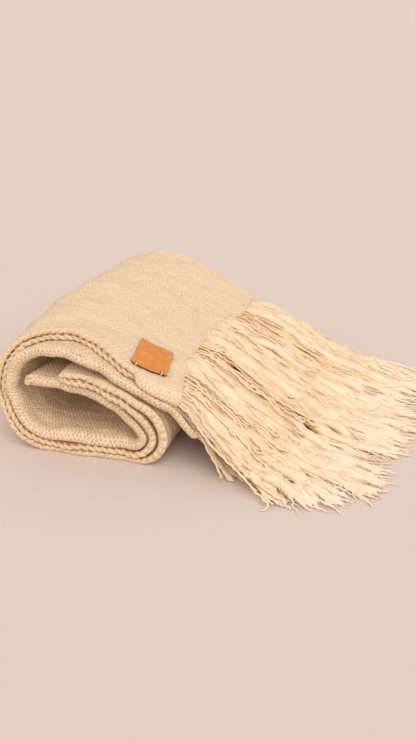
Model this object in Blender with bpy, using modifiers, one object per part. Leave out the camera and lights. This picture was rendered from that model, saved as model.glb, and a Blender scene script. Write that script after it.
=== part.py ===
"""A woven wool throw, folded in half twice and rolled up once, with long fringes and a leather label.

Metres, +Z up. The roll lies along Y on the plane Z = 0, with the origin in the middle of its flat
underside. Its open near end faces -Y, and the fringed ends of the cloth come over the top and lie out
on the surface towards +X.
"""
import math

import bmesh
import bpy
import numpy as np
from mathutils import Vector

MM = 0.001

# Driving dimensions
CLOTH = 6.0 * MM             # thickness of the fulled, woven wool
GAP = 0.35 * MM              # parting between pieces that touch
STRIP_GAP = 0.6 * MM         # parting between a woven end and the strip that holds its fringe
STRIP = 7.0 * MM             # width of the strip at a woven end that holds the fringe
NEAR_END = -190.0 * MM       # Y of the roll's near end
NEAR_BLEND = 110.0 * MM      # depth over which the near end's section turns into the body's
SWELL_AT = 160.0 * MM        # depth at which the roll is fullest
FAR_FROM = 175.0 * MM        # depth from which the section turns into the far end's
DEEPEST = 389.0 * MM         # depth of the far fold where the roll is deepest
FAR_FOLD_STEPS = 5           # flats round the fold at the far end
HAIRPIN_STEPS = 4            # flats round the fold at the inner end of the roll
PATH_SAMPLES = 24            # samples of the smooth path between two of its rows
SHARE_ALONG = (0.0, 0.06, 0.18, 0.34, 0.5, 0.66, 0.82, 1.0)   # columns of the grid along Y

# The path of the folded strip, seen from the near end, from the fringe over the top, down the left,
# along the bottom, up the right and back inside. It runs midway between the two outer and the two
# inner layers. All in millimetres, with depths from the roll's near end. Columns: place, x and z at the
# near end, x and z in the body, spacing of the two outer layers, spacing of the two inner layers, depth
# of the far fold, setback of the outer pair's near edge, setback of the inner pair's near edge, how far
# the strip swells outwards at its middle depth, how far out it moves at the far fold, steps to the next
# row.
PATH = (
    ("past the lower end", 137, 37, 132, 41, 7.0, 7.4, 358, 8, 0, 0, 0, 1),
    ("lower fringe end", 127, 47, 122, 50, 7.0, 7.6, 358, 8, 0, 0, 0, 3),
    ("upper fringe end", 96, 74, 92, 76, 7.0, 7.8, 358, 8, 0, 0, 3, 2),
    ("flap", 68, 88, 66, 89, 7.0, 7.2, 360, 8, 0, 0, 5, 2),
    ("flap rise", 43, 99, 42, 99, 7.0, 6.8, 368, 12, 0, 1, 6, 2),
    ("right shoulder", 12, 115, 12, 113, 7.0, 6.8, 376, 17, 0, 2, 4, 2),
    ("near crown", -18, 126, -18, 125, 7.0, 7.0, 382, 26, 0, 4, 0, 2),
    ("crown", -49, 130.5, -49, 130, 7.1, 7.1, 386, 27, 0, 6, -4, 2),
    ("left shoulder", -76, 125, -76, 125, 7.2, 7.2, 388, 26, 0, 8, -4, 2),
    ("upper left", -98, 111, -98, 112, 7.3, 7.3, 389, 18, 0, 8, -1, 2),
    ("left", -110, 92, -111, 94, 7.3, 7.4, 389, 12, 0, 6, 1, 2),
    ("left middle", -113, 72, -115, 73, 7.1, 7.4, 389, 8, 0, 4, 0, 2),
    ("lower left", -105, 51, -107, 51, 7.0, 7.2, 389, 4, 0, 2, 0, 2),
    ("left heel", -93, 31, -94, 31, 6.9, 7.0, 389, 1, 0, 0, 0, 2),
    ("left foot", -77, 18.5, -77, 18.5, 6.8, 6.9, 389, 0, 0, 0, 0, 2),
    ("floor left", -56, 13.2, -56, 13.2, 6.8, 6.8, 389, 0, 0, 0, 0, 1),
    ("floor", -30, 13.2, -30, 13.2, 6.8, 6.8, 389, 0, 0, 0, 0, 1),
    ("floor middle", 4, 13.2, 4, 13.2, 6.8, 6.8, 389, 0, 0, 0, 0, 1),
    ("floor right", 28, 13.2, 28, 13.2, 6.8, 6.8, 389, 0, 0, 0, 0, 2),
    ("right foot", 46, 13.4, 49, 13.4, 7.2, 6.9, 389, 0, 0, 0, 0, 2),
    ("right heel", 58, 18, 61, 17.5, 9.6, 7.0, 389, 0, 0, 0, 0, 2),
    ("bulge", 63.5, 29, 67.5, 29, 12.4, 7.2, 389, 0, 0, 0, 0, 2),
    ("upper bulge", 60.5, 41, 65.5, 42, 12.8, 7.4, 389, 0, 0, 0, 0, 2),
    ("inner rise", 52, 53, 56, 53.5, 12.0, 8.0, 389, 0, 0, 0, 0, 2),
    ("inner slope", 39, 64, 41, 63, 10.0, 8.6, 389, 0, 2, 0, 0, 2),
    ("inner shelf", 20, 74.5, 21, 73.5, 8.6, 8.2, 389, 0, 4, 0, 0, 2),
    ("inner flap", -4, 82, -4, 81, 8.0, 8.0, 389, 2, 5, 0, 0, 2),
    ("hairpin of the outer pair", -36, 89, -36, 88, 7.0, 8.0, 389, 4, 6, 0, 0, 2),
    ("inner tip rise", -60, 91, -60, 90, 7.0, 7.6, 389, 4, 4, 0, 0, 2),
    ("hairpin of the inner pair", -79, 92, -79, 91, 7.0, 7.2, 389, 4, 2, 0, 0, 1),
    ("past the inner hairpin", -90, 92, -90, 91, 7.0, 7.2, 389, 4, 2, 0, 0, 0),
)
COLUMN_NAMES = ("outer", "inner", "far", "outer setback", "inner setback", "swell", "far end")
LOWER_END, UPPER_END, OUTER_HAIRPIN, INNER_HAIRPIN = 1, 2, 27, 29
BOW, BOW_ENDS = 17.0 * MM, 0.88      # how far the woven ends bow in, and up to which share of the depth
SETBACK_FADES = 0.34                 # share of the depth by which a near edge's setback has faded out

# Fringe locks. Columns: piece, layer, how far the first lock is along its pitch, number of locks,
# width at the root.
LOCKS = (
    ("fringe_a", "top", 0.28, 25, 5.6),
    ("fringe_a", "bottom", 0.28, 19, 6.6),
    ("fringe_b", "top", 0.78, 25, 5.6),
    ("fringe_b", "bottom", 0.78, 19, 6.6),
)
# How the locks lie. Columns: layer, share along the woven end from the near edge, degrees that the
# lock turns towards +Y, reach along X from root to tip, X where it comes down on its bed.
FAN = (
    ("top", 0.0, -25, 142, 208),
    ("top", 0.1, -20, 203, 240),
    ("top", 0.25, -15.5, 256, 268),
    ("top", 0.5, -10, 274, 292),
    ("top", 1.0, -1, 264, 312),
    ("bottom", 0.0, -16, 52, 170),
    ("bottom", 0.1, -17, 96, 178),
    ("bottom", 0.25, -15.5, 151, 186),
    ("bottom", 0.5, -10, 172, 196),
    ("bottom", 1.0, -1, 176, 206),
)
LOCK_SHARES = (0.1, 0.26, 0.46, 0.7, 0.88, 1.0)   # rings along a lock, as shares of its reach
LOCK_THICK = 5.0 * MM
TAPER_THICK, TAPER_WIDE = 0.2, 0.25               # share of the root's size lost by the tip
LATE_TURN = 0.25             # share of a lock's sideways run that grows towards the tip
RING = ((-1, 1), (1, 1), (1, -1), (-1, -1))       # corners of a lock: Y side, Z side
BED = 5.6 * MM               # underside of the upper locks where they lie on the lower ones
ON_FLOOR = 0.8               # share of the reach past which every lock lies on the floor
UNEVEN = 7.0 * MM            # how much the locks' reach varies

# Leather label, in the plane of the cloth under it
LABEL = (42.0 * MM, 62.0 * MM, 2.0 * MM)          # across the flap, along the roll, thickness
LABEL_CENTRE = (49.0 * MM, 54.5 * MM)             # path distance from the upper fringe end, and depth
LABEL_LIFT = 0.6 * MM                             # its underside over the cloth
LABEL_TURN = -9.0                                 # degrees in the plane of the cloth
LABEL_HOLE = 2.2 * MM                             # radius of the four notches and holes
LABEL_HOLE_INSET = (6.0 * MM, 4.8 * MM)           # centres, from the side and from the near end
LABEL_CELLS = (6, 8)                              # faces across it and along it
TIE = 1.1 * MM                                    # radius of the yarn that ties the label down

CREAM = (0.84, 0.72, 0.55)
PALE_CREAM = (0.88, 0.78, 0.62)
TAN = (0.72, 0.32, 0.09)


def clear_scene():
    for thing in list(bpy.data.objects):
        bpy.data.objects.remove(thing)


def collection_named(name):
    group = bpy.data.collections.new(name)
    bpy.context.scene.collection.children.link(group)
    return group


def material_named(name, colour, roughness):
    material = bpy.data.materials.new(name)
    material.use_nodes = True
    shader = material.node_tree.nodes["Principled BSDF"]
    shader.inputs["Base Color"].default_value = (*colour, 1.0)
    shader.inputs["Roughness"].default_value = roughness
    shader.inputs["Metallic"].default_value = 0.0
    return material


def add_object(name, mesh, material, group):
    piece = bpy.data.objects.new(name, mesh)
    piece.data.materials.append(material)
    group.objects.link(piece)
    return piece


def smooth_rows(rows):
    """Catmull-Rom curve through the rows, with every column carried along."""
    rows = np.asarray(rows, float)
    before = np.vstack([2 * rows[0] - rows[1], rows[:-1]])
    after = np.vstack([rows[1:], 2 * rows[-1] - rows[-2]])
    share = np.linspace(0.0, 1.0, PATH_SAMPLES, endpoint=False)[:, None]
    pieces = []
    for here in range(len(rows) - 1):
        start, end = rows[here], rows[here + 1]
        slope_in = (end - before[here]) / 2
        slope_out = (after[here + 1] - start) / 2
        pieces.append(
            (2 * share**3 - 3 * share**2 + 1) * start
            + (share**3 - 2 * share**2 + share) * slope_in
            + (3 * share**2 - 2 * share**3) * end
            + (share**3 - share**2) * slope_out
        )
    return np.vstack(pieces + [rows[-1:]])


def ease(share):
    """A smooth step from 0 to 1."""
    share = np.clip(share, 0.0, 1.0)
    return share * share * (3 - 2 * share)


class Path:
    """The folded strip's path: its place, its outward direction and its layer spacing at a distance."""

    def __init__(self):
        table = np.array([row[1:12] for row in PATH], float) * MM
        dense = smooth_rows(table)
        steps = np.linalg.norm(np.diff(dense[:, 2:4], axis=0), axis=1)
        length = np.concatenate([[0.0], np.cumsum(steps)])
        at_row = length[:: PATH_SAMPLES]
        self.distance = length - at_row[UPPER_END]
        self.row_distance = at_row - at_row[UPPER_END]
        self.near, self.body = dense[:, 0:2], dense[:, 2:4]
        self.out_near, self.out_body = self.outward(self.near), self.outward(self.body)
        self.columns = dense[:, 4:11]

    @staticmethod
    def outward(points):
        along = np.gradient(points, axis=0)
        along /= np.linalg.norm(along, axis=1)[:, None]
        return np.column_stack([along[:, 1], -along[:, 0]])

    def read(self, values, distance):
        return np.stack([np.interp(distance, self.distance, column) for column in values.T], -1)

    def column(self, name, distance):
        index = COLUMN_NAMES.index(name)
        return np.interp(distance, self.distance, self.columns[:, index])

    def point(self, distance, y, offset):
        """A point at this distance along the path, this far behind the near end and this far out."""
        share = ease(y / NEAR_BLEND)[..., None]
        place = (1 - share) * self.read(self.near, distance) + share * self.read(self.body, distance)
        out = (1 - share) * self.read(self.out_near, distance) + share * self.read(self.out_body, distance)
        out /= np.linalg.norm(out, axis=-1, keepdims=True)
        full = ease(y / SWELL_AT) * ease((DEEPEST - y) / (DEEPEST - SWELL_AT))
        beyond = ease((y - FAR_FROM) / (DEEPEST - FAR_FROM))
        offset = offset + self.column("swell", distance) * full + self.column("far end", distance) * beyond
        place = place + out * offset[..., None]
        depth = np.broadcast_to(NEAR_END + y, place.shape[:-1])
        return np.stack([place[..., 0], depth, place[..., 1]], -1)

    def stations(self, first_row, last_row):
        """Distances between two rows of the table, with the table's number of steps in each span."""
        found = []
        for here in range(first_row, last_row):
            start, end = self.row_distance[here], self.row_distance[here + 1]
            found.extend(np.linspace(start, end, PATH[here][-1], endpoint=False))
        return np.array(found + [self.row_distance[last_row]])


def columns_across():
    """The cloth's columns from one long edge round the far fold to the other.

    Each is (share of the way from the near edge to the fold, angle round the fold).
    """
    upper = [(share, 0.0) for share in SHARE_ALONG]
    fold = [(1.0, math.pi * step / FAR_FOLD_STEPS) for step in range(1, FAR_FOLD_STEPS)]
    lower = [(share, math.pi) for share in reversed(SHARE_ALONG)]
    return upper + fold + lower


def layer_point(path, distance, share, angle, turns, lift=0.0):
    """A point of the mid-surface, or at a lift from it. turns is 1.5 in the outer sheet, 0.5 inside it."""
    outer, inner = path.column("outer", distance), path.column("inner", distance)
    upper = math.cos(angle) > 0
    edge = path.column("outer setback" if upper else "inner setback", distance)
    far = path.column("far", distance)
    y = share * far + edge * max(0.0, 1 - share / SETBACK_FADES)
    y = y + (turns * (outer + inner) / 2 + lift) * math.sin(angle)
    offset = (turns * (outer if upper else inner) + lift) * math.cos(angle)
    return path.point(distance, y, offset)


def end_distances(path, share, angle):
    """Where a column starts at the fringe and ends at its hairpin.

    The woven ends bow in a little. The two lower layers reach further out at both ends, most at the
    near edge and not at all at the far fold, because the cloth was folded a little askew.
    """
    start = path.row_distance[UPPER_END] + BOW * math.sin(math.pi * min(share / BOW_ENDS, 1.0))
    end = path.row_distance[OUTER_HAIRPIN]
    if math.cos(angle) > 0:
        return start, end
    askew = 1.0 - share
    reach_out = path.row_distance[LOWER_END] - path.row_distance[UPPER_END]
    reach_in = path.row_distance[INNER_HAIRPIN] - end
    return start + askew * reach_out, end + askew * reach_in


def throw_grid(path):
    """Mid-surface of the whole cloth: rows from one fringed end to the other, columns across."""
    shares = path.stations(UPPER_END, OUTER_HAIRPIN)
    shares = (shares - shares[0]) / (shares[-1] - shares[0])
    grid = []
    for share, angle in columns_across():
        start, end = end_distances(path, share, angle)
        distance = start + shares * (end - start)
        outer_sheet = layer_point(path, distance, share, angle, 1.5)
        inner_sheet = layer_point(path, distance, share, angle, 0.5)
        turn = []
        for step in range(1, HAIRPIN_STEPS):
            bend = math.pi * step / HAIRPIN_STEPS
            spacing = path.column("inner" if math.cos(angle) < 0 else "outer", end)
            further = end + spacing / 2 * math.sin(bend)
            turn.append(layer_point(path, np.array([further]), share, angle, 1 + 0.5 * math.cos(bend))[0])
        grid.append(np.vstack([outer_sheet, turn, inner_sheet[::-1]]))
    points = np.stack(grid, axis=1)
    points[..., 2] = np.maximum(points[..., 2], CLOTH / 2)
    return points


def grid_mesh(name, points):
    """A mesh of four-sided faces over a grid of points."""
    rows, columns = points.shape[:2]
    index = np.arange(rows * columns).reshape(rows, columns)
    faces = np.stack([index[:-1, :-1], index[:-1, 1:], index[1:, 1:], index[1:, :-1]], -1).reshape(-1, 4)
    mesh = bpy.data.meshes.new(name)
    mesh.from_pydata(points.reshape(-1, 3).tolist(), [], faces.tolist())
    mesh.shade_smooth()
    return mesh


def thicken(piece, thickness):
    """Gives a mid-surface its thickness, half to each side."""
    solid = piece.modifiers.new("thickness", "SOLIDIFY")
    solid.thickness = thickness
    solid.offset = 0.0
    solid.use_even_offset = True


def make_throw(path, material, group):
    throw = add_object("throw", grid_mesh("throw", throw_grid(path)), material, group)
    thicken(throw, CLOTH)


def fan_at(layer, share):
    """Turn, reach and landing place of a lock at this share along the woven end."""
    rows = np.array([row[1:] for row in FAN if row[0] == layer], float)
    turn, reach, landing = (np.interp(share, rows[:, 0], rows[:, column]) for column in (1, 2, 3))
    return math.radians(turn), reach * MM, landing * MM


def droop(run):
    """Share of the root's height that is left after this share of the run to the landing place."""
    left = 1 - min(run, 1.0)
    return left * left * (1.9 - 0.9 * left)


def lock_rings(root, width, layer, share):
    """Rings of four points along a lock, from its root in the strip to its tip."""
    turn, reach, landing = fan_at(layer, share)
    reach += UNEVEN * math.sin(40.0 * share)
    rings = []
    for part in LOCK_SHARES:
        x = root[0] + reach * part
        y = root[1] + reach * math.tan(turn) * part * (1 - LATE_TURN + LATE_TURN * part)
        half = LOCK_THICK / 2 * (1 - TAPER_THICK * part)
        bed = BED if layer == "top" and part < ON_FLOOR else 0.0
        z = bed + half + (root[2] - bed - half) * droop((x - root[0]) / (landing - root[0]))
        wide = width / 2 * (1 - TAPER_WIDE * part)
        rings.append([(x, y + wide * over, z + half * up) for over, up in RING])
    return rings


def strip_section(path, share, angle, turns):
    """Four corners of the fringe's strip at one place along the woven end: top and bottom, in and out."""
    distance = end_distances(path, share, angle)[0] - np.array([STRIP_GAP, STRIP_GAP + STRIP])
    found = []
    for lift in (CLOTH / 2, -CLOTH / 2):
        found.append(layer_point(path, distance, share, angle, turns, lift))
    upper, lower = found
    return np.array([upper[0], upper[1], lower[1], lower[0]])


def strip_corners(path, share, angle, turns):
    """The strip's section, on the straight line between the cloth's own columns beside it."""
    after = min(max(np.searchsorted(SHARE_ALONG, share), 1), len(SHARE_ALONG) - 1)
    before, beyond = SHARE_ALONG[after - 1], SHARE_ALONG[after]
    part = (share - before) / (beyond - before)
    one, two = (strip_section(path, column, angle, turns) for column in (before, beyond))
    return one + part * (two - one)


def strip_columns(path, rows):
    """Places of the strip's sections, and the layer of each span between them that carries a lock."""
    start = path.row_distance[UPPER_END]
    columns, locks = [], {}
    for piece, layer, first, count, width in rows:
        edge = path.column("outer setback" if layer == "top" else "inner setback", start)
        half = width * MM / 2 / (path.column("far", start) - edge)
        places = [0.0]
        for number in range(count):
            centre = (number + first) / count
            places += [centre - half, centre + half]
        places.append(1.0)
        spans = range(1, 2 * count, 2)
        if layer == "bottom":
            places.reverse()
            columns += [(1.0, math.pi * step / FAR_FOLD_STEPS) for step in range(1, FAR_FOLD_STEPS)]
        locks.update({len(columns) + span: layer for span in spans})
        columns += [(place, 0.0 if layer == "top" else math.pi) for place in places]
    return columns, locks


def make_fringe(path, name, turns, material, group):
    """A strip along one woven end, round the far fold, with its locks extruded from it."""
    columns, locks = strip_columns(path, [row for row in LOCKS if row[0] == name])
    bm = bmesh.new()
    rings = []
    for share, angle in columns:
        rings.append([bm.verts.new(place) for place in strip_corners(path, share, angle, turns)])
    roots = []
    for here, (one, two) in enumerate(zip(rings, rings[1:])):
        for side in range(4):
            after = (side + 1) % 4
            face = bm.faces.new((one[side], one[after], two[after], two[side]))
            if side == 1 and here in locks:
                roots.append((face, locks[here], (columns[here][0] + columns[here + 1][0]) / 2))
    bm.faces.new(rings[0][::-1])
    bm.faces.new(rings[-1])
    for face, layer, share in roots:
        grow_lock(bm, face, layer, share)
    bmesh.ops.recalc_face_normals(bm, faces=bm.faces)
    mesh = bpy.data.meshes.new(name)
    bm.to_mesh(mesh)
    bm.free()
    add_object(name, mesh, material, group)


def ring_order(face):
    """The face's corners as upper near, upper far, lower far, lower near."""
    across = sorted(face.verts, key=lambda vert: vert.co.y)
    near_low, near_high = sorted(across[:2], key=lambda vert: vert.co.z)
    far_low, far_high = sorted(across[2:], key=lambda vert: vert.co.z)
    return [near_high, far_high, far_low, near_low]


def grow_lock(bm, face, layer, share):
    """Extrudes one face of the strip along a lock's route."""
    corners = np.array([vert.co[:] for vert in ring_order(face)])
    width = corners[1, 1] - corners[0, 1]
    for ring in lock_rings(corners.mean(axis=0), width, layer, share):
        grown = bmesh.ops.extrude_discrete_faces(bm, faces=[face])["faces"][0]
        for vert, place in zip(ring_order(grown), ring):
            vert.co = place
        face = grown


def label_point(path, across, along, height):
    """A point of the label, by its distance across and along it and its height over the cloth."""
    turn = math.radians(LABEL_TURN)
    distance = LABEL_CENTRE[0] + across * math.cos(turn) - along * math.sin(turn)
    y = LABEL_CENTRE[1] + across * math.sin(turn) + along * math.cos(turn)
    distance = np.array([distance])
    outer = path.column("outer", distance)
    return path.point(distance, np.array([y]), 1.5 * outer + CLOTH / 2 + height)[0]


def make_label(path, material, group, cutters):
    across, along, thick = LABEL
    sides = np.linspace(-across / 2, across / 2, LABEL_CELLS[0] + 1)
    ends = np.linspace(-along / 2, along / 2, LABEL_CELLS[1] + 1)
    height = LABEL_LIFT + thick / 2
    points = np.array([[label_point(path, side, end, height) for end in ends] for side in sides])
    label = add_object("label", grid_mesh("label", points), material, group)
    thicken(label, thick)
    for number, (side, end) in enumerate(label_holes()):
        low = label_point(path, side, end, -4 * thick)
        high = label_point(path, side, end, 4 * thick)
        cutter = add_punch(f"label_cutter_{number + 1}", low, high, material, cutters)
        cut = label.modifiers.new(f"hole {number + 1}", "BOOLEAN")
        cut.operation = "DIFFERENCE"
        cut.solver = "EXACT"
        cut.object = cutter


def label_holes():
    """Centres of the holes: two bite into the far end as notches, two lie just inside the near end."""
    across, along, thick = LABEL
    side_inset, end_inset = LABEL_HOLE_INSET
    side, far, near = across / 2 - side_inset, along / 2, end_inset - along / 2
    return ((-side, far), (side, far), (-side, near), (side, near))


def add_punch(name, low, high, material, group):
    """The round punch that cuts one hole, between two points."""
    bm = bmesh.new()
    bmesh.ops.create_cone(
        bm, cap_ends=True, segments=8, radius1=LABEL_HOLE, radius2=LABEL_HOLE, depth=1.0
    )
    mesh = bpy.data.meshes.new(name)
    bm.to_mesh(mesh)
    bm.free()
    punch = add_object(name, mesh, material, group)
    along = Vector(high) - Vector(low)
    punch.location = (Vector(low) + Vector(high)) / 2
    punch.rotation_mode = "QUATERNION"
    punch.rotation_quaternion = Vector((0.0, 0.0, 1.0)).rotation_difference(along)
    punch.scale = (1.0, 1.0, along.length)
    punch.hide_render = True
    punch.display_type = "WIRE"
    return punch


def make_ties(path, material, group):
    """A short arch of yarn at each hole, over the end of the label and down to the cloth."""
    end = LABEL[1] / 2
    top = LABEL_LIFT + LABEL[2] + GAP + TIE
    foot = GAP + TIE
    for number, (side, hole) in enumerate(label_holes()):
        outward = 1.0 if hole > 0 else -1.0
        inside = min(hole, end - LABEL_HOLE / 5)
        outside = outward * (end + TIE + 2 * GAP)
        middle = (inside + outside) / 2
        route = ((inside, foot), (inside, top), (middle, top + TIE / 3), (outside, top), (outside, foot))
        curve = bpy.data.curves.new(f"tie_{number + 1}", "CURVE")
        curve.dimensions = "3D"
        curve.bevel_depth = TIE
        curve.bevel_resolution = 1
        curve.use_fill_caps = True
        spline = curve.splines.new("POLY")
        spline.points.add(len(route) - 1)
        for point, (along, height) in zip(spline.points, route):
            point.co = (*label_point(path, side, along, height), 1.0)
        add_object(f"tie_{number + 1}", curve, material, group)


def main():
    clear_scene()
    group = collection_named("Woven wool throw")
    cutters = collection_named("Cutters")
    wool = material_named("cream_wool", CREAM, 0.95)
    roving = material_named("pale_wool_roving", PALE_CREAM, 0.95)
    leather = material_named("tan_leather", TAN, 0.6)
    path = Path()
    make_throw(path, wool, group)
    make_fringe(path, "fringe_a", 1.5, roving, group)
    make_fringe(path, "fringe_b", 0.5, roving, group)
    make_label(path, leather, group, cutters)
    make_ties(path, roving, group)


main()
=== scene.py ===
# %% [markdown]
# # A woven wool throw, rolled up once
#
# The real thing is one rectangle of thick cream wool, woven on a loom and then fulled, which is washed
# and rubbed until it is soft. It is folded in half along its length and in half across its width, and
# that strip of four layers is rolled up once, loosely. Both woven ends carry a long fringe, and a small
# plate of tan leather is tied to the corner with four stitches of yarn.
#
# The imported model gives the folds, and this lesson dresses it: it takes the same folded path, lays a
# finer cloth along it with every thread of the weave, and then adds braided edges, fringe and leather.

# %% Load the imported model
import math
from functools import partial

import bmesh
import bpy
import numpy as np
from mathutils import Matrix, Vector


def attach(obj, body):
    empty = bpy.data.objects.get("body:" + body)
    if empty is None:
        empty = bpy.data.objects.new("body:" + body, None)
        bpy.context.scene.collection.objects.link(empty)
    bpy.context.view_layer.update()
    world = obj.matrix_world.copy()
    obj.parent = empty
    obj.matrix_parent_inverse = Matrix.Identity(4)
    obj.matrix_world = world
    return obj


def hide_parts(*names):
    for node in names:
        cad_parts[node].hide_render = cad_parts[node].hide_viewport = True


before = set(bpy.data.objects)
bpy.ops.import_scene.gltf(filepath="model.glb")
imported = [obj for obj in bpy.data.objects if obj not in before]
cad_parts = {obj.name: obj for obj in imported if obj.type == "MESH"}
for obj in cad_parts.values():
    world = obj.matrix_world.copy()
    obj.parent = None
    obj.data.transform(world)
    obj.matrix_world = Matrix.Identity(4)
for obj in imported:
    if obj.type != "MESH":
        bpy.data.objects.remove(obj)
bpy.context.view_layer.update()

# %% [markdown]
# ## Tools
#
# A few helpers save typing later. Colours are written as sRGB hex values, as a paint program shows them,
# and Blender wants them linear, so one function turns them. Another adds a node to a material with its
# settings and links in one line, and three short ones use it for sums, ramps and mixes. The others make
# a mesh from lists of points and faces, keep numbers on its vertices and apply a modifier.

MM = 0.001


def srgb(code):
    """A linear colour with alpha, from an sRGB hex value such as '#F2DCC0'."""
    parts = [int(code[start:start + 2], 16) / 255 for start in (1, 3, 5)]
    linear = [part / 12.92 if part <= 0.04045 else ((part + 0.055) / 1.055) ** 2.4 for part in parts]
    return (*linear, 1.0)


def new_material(name, values):
    """A material with these values on its Principled shader, and nothing wired to it yet."""
    material = bpy.data.materials.new(name)
    material.use_nodes = True
    shader = material.node_tree.nodes["Principled BSDF"]
    for socket, value in values.items():
        shader.inputs[socket].default_value = value
    return material, shader


def add_node(material, kind, settings=None, links=None):
    """Adds a node. settings are its own values or its sockets' values, links its sockets' sources."""
    node = material.node_tree.nodes.new("ShaderNode" + kind)
    for name, value in (settings or {}).items():
        if isinstance(name, int) or name in node.inputs:
            node.inputs[name].default_value = value
        else:
            setattr(node, name, value)
    for name, source in (links or {}).items():
        material.node_tree.links.new(source, node.inputs[name])
    return node


def add_math(material, operation, *values):
    """The result of a sum. Each value is a number or another node's output."""
    numbers = {place: value for place, value in enumerate(values) if isinstance(value, float)}
    sources = {place: value for place, value in enumerate(values) if place not in numbers}
    return add_node(material, "Math", {"operation": operation, **numbers}, sources).outputs[0]


def add_ramp(material, factor, stops):
    """A colour read from a ramp. stops are positions and hex colours, from low to high."""
    ramp = add_node(material, "ValToRGB", {}, {"Fac": factor})
    elements = ramp.color_ramp.elements
    for element, (position, colour) in zip(elements, (stops[0], stops[-1])):
        element.position = position
        element.color = srgb(colour)
    for position, colour in stops[1:-1]:
        elements.new(position).color = srgb(colour)
    return ramp.outputs["Color"]


def add_mix(material, amount, base, colour):
    """A base colour, moved towards a hex colour by an amount."""
    mix = add_node(material, "Mix", {"data_type": "RGBA", 7: srgb(colour)}, {0: amount, 6: base})
    return mix.outputs[2]


def wire_looks(material, shader, colour, bump):
    """Gives a shader its colour and its bump."""
    material.node_tree.links.new(colour, shader.inputs["Base Color"])
    material.node_tree.links.new(bump.outputs["Normal"], shader.inputs["Normal"])


def piece_from(name, points, faces, material):
    """A smooth mesh object from points in metres and faces as lists of point numbers."""
    mesh = bpy.data.meshes.new(name)
    mesh.from_pydata(points.tolist(), [], faces)
    piece = bpy.data.objects.new(name, mesh)
    bpy.context.scene.collection.objects.link(piece)
    mesh.materials.append(material)
    mesh.shade_smooth()
    print(f"{name}: {len(mesh.polygons)} faces")
    return piece


def mark_vertices(mesh, name, vectors):
    """Keeps three numbers with every vertex, for materials to read by name."""
    layer = mesh.attributes.new(name, "FLOAT_VECTOR", "POINT")
    layer.data.foreach_set("vector", np.asarray(vectors, np.float32).ravel())


def select_only(piece):
    """Makes a piece the only selected one, and the active one."""
    bpy.ops.object.select_all(action="DESELECT")
    piece.select_set(True)
    bpy.context.view_layer.objects.active = piece


def use_modifier(piece, kind, **settings):
    """Changes a piece for good with one modifier."""
    select_only(piece)
    modifier = piece.modifiers.new(kind.lower(), kind)
    for name, value in settings.items():
        setattr(modifier, name, value)
    bpy.ops.object.modifier_apply(modifier=modifier.name)


def waves(at, seed, count=4, low=0.6, high=1.6):
    """A smooth wandering value between about -1 and 1 along one or more coordinates."""
    draw = np.random.default_rng(seed)
    at = np.atleast_2d(np.asarray(at, float).T).T
    total = np.zeros(at.shape[0])
    for number in range(count):
        direction = draw.normal(size=at.shape[1])
        direction *= draw.uniform(low, high) / np.linalg.norm(direction)
        total += np.sin(2 * math.pi * (at @ direction) + draw.uniform(0, 2 * math.pi))
    return total / math.sqrt(count)


# %% [markdown]
# ## Camera, floor and light
#
# The photograph looks down at the roll's open end from about 22 degrees, a little from the right. It is
# a product photo in a studio: one plain pale pink surface runs from under the throw up behind it, and
# the light is broad and warm, from high in front and a little from the right, so it reaches well into the
# open roll and the shadows are soft and short. A camera is placed where the photographer stood. One very
# large floor does for both surface and backdrop, and a wide sun lamp with a pale sky around it gives the
# same soft light from every side the throw is seen from.

# %% Camera
scene = bpy.context.scene
camera_data = bpy.data.cameras.new("Camera")
camera_data.lens = 50.0
camera_data.sensor_width = 36.0
camera_data.clip_end = 200.0
camera = bpy.data.objects.new("Camera", camera_data)
camera.location = (0.4289, -1.1768, 0.5405)
camera.rotation_euler = (math.radians(68.0), 0.0, math.radians(16.5))
scene.collection.objects.link(camera)
scene.camera = camera
print(f"camera: {camera.location.length:.2f} m away")

# %% Floor
bpy.ops.object.select_all(action="DESELECT")
bpy.ops.mesh.primitive_circle_add(vertices=64, radius=60.0, fill_type="NGON", location=(0, 0, 0))
floor = bpy.context.object
floor.name = "studio_floor"
PAPER = {"Base Color": srgb("#DDD1CC"), "Roughness": 0.9, "Specular IOR Level": 0.2}
floor_paint, _ = new_material("matt studio paper", PAPER)
floor.data.materials.append(floor_paint)
print(f"floor: {floor.dimensions.x:.0f} m across")

# %% Light
sky = bpy.data.worlds.new("Studio air")
sky.use_nodes = True
sky.node_tree.nodes["Background"].inputs["Color"].default_value = srgb("#FFF1E8")
sky.node_tree.nodes["Background"].inputs["Strength"].default_value = 0.8
scene.world = sky
sun_data = bpy.data.lights.new("Softbox", "SUN")
sun_data.energy = 1.45
sun_data.angle = math.radians(60.0)
sun_data.color = (1.0, 0.955, 0.90)
sun = bpy.data.objects.new("Softbox", sun_data)
sun.rotation_euler = Vector((0.5, -0.82, 0.8)).to_track_quat("Z", "Y").to_euler()
scene.collection.objects.link(sun)
scene.view_settings.view_transform = "Standard"
print(f"sun {sun_data.energy:.2f}, {math.degrees(sun_data.angle):.0f} degrees wide")

# %% [markdown]
# ## The folded path
#
# Seen from its open end, the folded strip runs from the fringe over the top, down the left side, along
# the floor, up the right side and back inside, where it ends in two round folds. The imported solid
# follows a table of places along that path, and the same table is written here, because the fine cloth
# has to lie exactly where the solid is. A smooth curve through the rows gives the path between them.
#
# Each row gives: x and z at the open end, x and z in the body, the spacing of the two outer layers, the
# spacing of the two inner layers, how deep the far fold lies, how far the near edges of the outer and
# inner pair are set back, how far the roll swells outwards at its middle, and how far out it moves at the
# far fold. All are in millimetres.

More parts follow.
